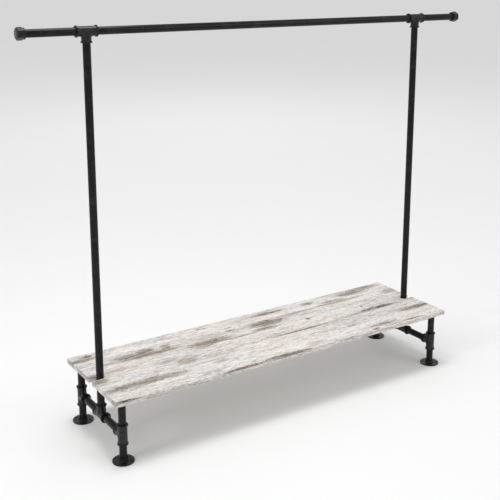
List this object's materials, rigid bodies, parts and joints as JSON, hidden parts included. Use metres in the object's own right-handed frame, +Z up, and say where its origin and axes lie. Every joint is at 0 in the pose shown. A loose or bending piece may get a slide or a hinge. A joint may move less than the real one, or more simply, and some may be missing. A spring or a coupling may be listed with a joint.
{
  "type": "pipe clothes rack",
  "caption": "Standing clothes rack of black screwed iron pipe: a round hanging rail on uprights, short flanged feet and a low white-washed board between the end frames.",
  "frame": {"origin": "on the floor, under the middle of the rack", "axes": "+X along the rail to the right, +Y from the front of the rack to its back, +Z up"},
  "size_m": [1.9, 0.422, 1.4665],
  "materials": {
    "pipe_black": "black lacquered steel pipe, satin, lightly mottled",
    "fitting_black": "black malleable iron, fine cast grain, satin",
    "board_white_wash": "white-washed worn planks, matt, with brown and grey wear along the grain"
  },
  "bodies": {
    "root": {"rail_centre_pipe": "pipe_black", "rail_nipple_left": "pipe_black", "rail_tee_left": "fitting_black", "rail_cap_left": "fitting_black", "upright_left": "pipe_black", "cross_tee_left": "fitting_black", "cross_nipple_front_left": "pipe_black", "leg_upper_nipple_front_left": "pipe_black", "leg_lower_nipple_front_left": "pipe_black", "leg_tee_front_left": "fitting_black", "floor_flange_front_left": "fitting_black", "cross_nipple_rear_left": "pipe_black", "leg_upper_nipple_rear_left": "pipe_black", "leg_lower_nipple_rear_left": "pipe_black", "leg_tee_rear_left": "fitting_black", "floor_flange_rear_left": "fitting_black", "rail_nipple_right": "pipe_black", "rail_tee_right": "fitting_black", "rail_cap_right": "fitting_black", "upright_right": "pipe_black", "cross_tee_right": "fitting_black", "cross_nipple_front_right": "pipe_black", "leg_upper_nipple_front_right": "pipe_black", "leg_lower_nipple_front_right": "pipe_black", "leg_tee_front_right": "fitting_black", "floor_flange_front_right": "fitting_black", "cross_nipple_rear_right": "pipe_black", "leg_upper_nipple_rear_right": "pipe_black", "leg_lower_nipple_rear_right": "pipe_black", "leg_tee_rear_right": "fitting_black", "floor_flange_rear_right": "fitting_black", "shelf_board": "board_white_wash"}
  },
  "joints": []
}
